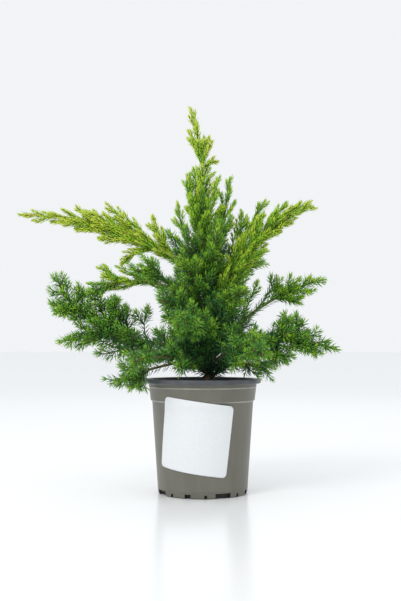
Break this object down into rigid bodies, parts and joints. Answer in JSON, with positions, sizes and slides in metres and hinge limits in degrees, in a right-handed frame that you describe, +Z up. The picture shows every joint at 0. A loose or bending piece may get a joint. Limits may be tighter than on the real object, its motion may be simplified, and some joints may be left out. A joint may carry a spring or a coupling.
{
  "type": "potted gold star juniper",
  "caption": "Young spreading juniper with a leading shoot, arching boughs and golden and blue-green needle foliage, planted in a round plastic nursery pot with a blank sticker.",
  "frame": {"origin": "centre of the pot's flat underside, on the pot's axis", "axes": "+Z up along the pot's axis; -Y faces the pictured side, which carries the sticker; +X to the right as seen from there"},
  "size_m": [0.291, 0.2103, 0.3505],
  "materials": {
    "pot_plastic": "satin moulded polypropylene, grey-brown",
    "soil": "moist dark peat with fibres",
    "label": "blank white sticker, slightly glossy",
    "bark": "red-brown bark, flaking in thin strips",
    "golden_foliage": "yellow-green needles on golden young stems",
    "green_foliage": "mid-green awl-shaped needles",
    "blue_green_foliage": "dark blue-green awl-shaped needles"
  },
  "bodies": {
    "root": {"bough_back_high": "bark", "bough_back_left": "bark", "bough_back_left_low": "bark", "bough_back_low": "bark", "bough_back_right": "bark", "bough_back_right_low": "bark", "bough_front_crest": "bark", "bough_front_high": "bark", "bough_front_left": "bark", "bough_front_left_low": "bark", "bough_front_middle": "bark", "bough_front_right": "bark", "bough_front_right_low": "bark", "bough_left_shoulder": "bark", "bough_low_left": "bark", "bough_lower_left": "bark", "bough_mid_left": "bark", "bough_right_bottom": "bark", "bough_right_gold": "bark", "bough_right_low": "bark", "bough_right_mid": "bark", "bough_upper_left": "bark", "bough_upper_right": "bark", "foliage_back_high": "green_foliage", "foliage_back_left": "green_foliage", "foliage_back_left_low": "blue_green_foliage", "foliage_back_low": "blue_green_foliage", "foliage_back_right": "green_foliage", "foliage_back_right_low": "blue_green_foliage", "foliage_crown_back": "golden_foliage", "foliage_crown_front": "golden_foliage", "foliage_crown_left": "golden_foliage", "foliage_crown_right": "golden_foliage", "foliage_front_crest": "green_foliage", "foliage_front_high": "green_foliage", "foliage_front_left": "blue_green_foliage", "foliage_front_left_low": "blue_green_foliage", "foliage_front_middle": "blue_green_foliage", "foliage_front_right": "green_foliage", "foliage_front_right_low": "blue_green_foliage", "foliage_leader": "golden_foliage", "foliage_left_shoulder": "green_foliage", "foliage_low_left": "blue_green_foliage", "foliage_lower_left": "blue_green_foliage", "foliage_mid_left": "golden_foliage", "foliage_right_bottom": "blue_green_foliage", "foliage_right_gold": "golden_foliage", "foliage_right_low": "blue_green_foliage", "foliage_right_mid": "green_foliage", "foliage_shoulder_back": "golden_foliage", "foliage_shoulder_left": "golden_foliage", "foliage_upper_left": "golden_foliage", "foliage_upper_right": "golden_foliage", "label": "label", "pot": "pot_plastic", "soil": "soil", "trunk": "bark"}
  },
  "joints": []
}
